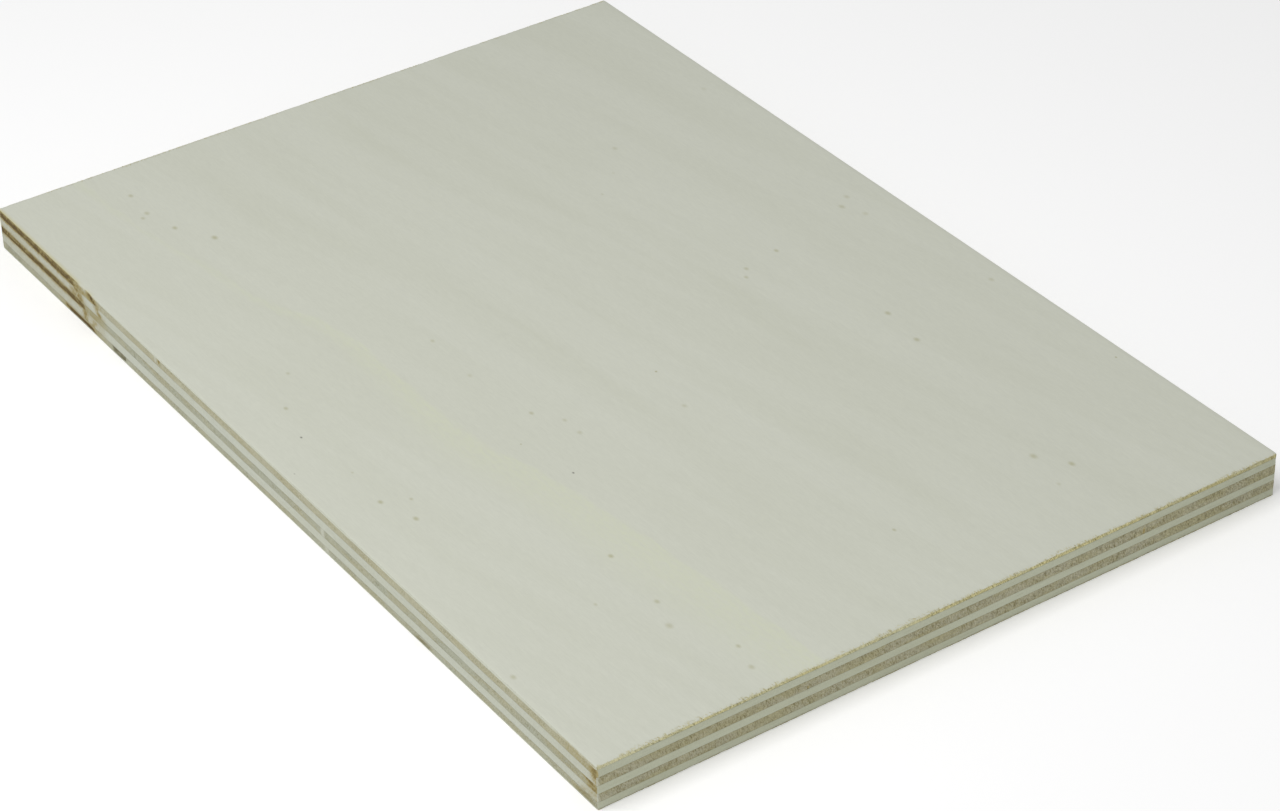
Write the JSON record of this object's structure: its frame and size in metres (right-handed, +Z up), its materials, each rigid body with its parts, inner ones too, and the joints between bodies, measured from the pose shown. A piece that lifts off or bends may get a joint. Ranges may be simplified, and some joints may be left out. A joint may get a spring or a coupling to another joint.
{
  "type": "plywood sheet",
  "caption": "Small cut sheet of pale plywood lying flat, with crossed plies showing as light and dark bands along its sawn edges.",
  "frame": {"origin": "centre of the underside, on the floor", "axes": "+X along the length and the grain of the face, +Y along the width, +Z up out of the face"},
  "size_m": [0.35, 0.24, 0.015],
  "materials": {
    "face_veneer": "sanded, unfinished, matte",
    "cross_ply": "sawn, unfinished, matte",
    "long_ply": "sawn, unfinished, matte",
    "back_veneer": "sanded, unfinished, matte"
  },
  "bodies": {
    "root": {"face_veneer": "face_veneer", "upper_cross_ply": "cross_ply", "upper_long_ply": "long_ply", "middle_cross_ply": "cross_ply", "lower_long_ply": "long_ply", "lower_cross_ply": "cross_ply", "back_veneer": "back_veneer"}
  },
  "joints": []
}
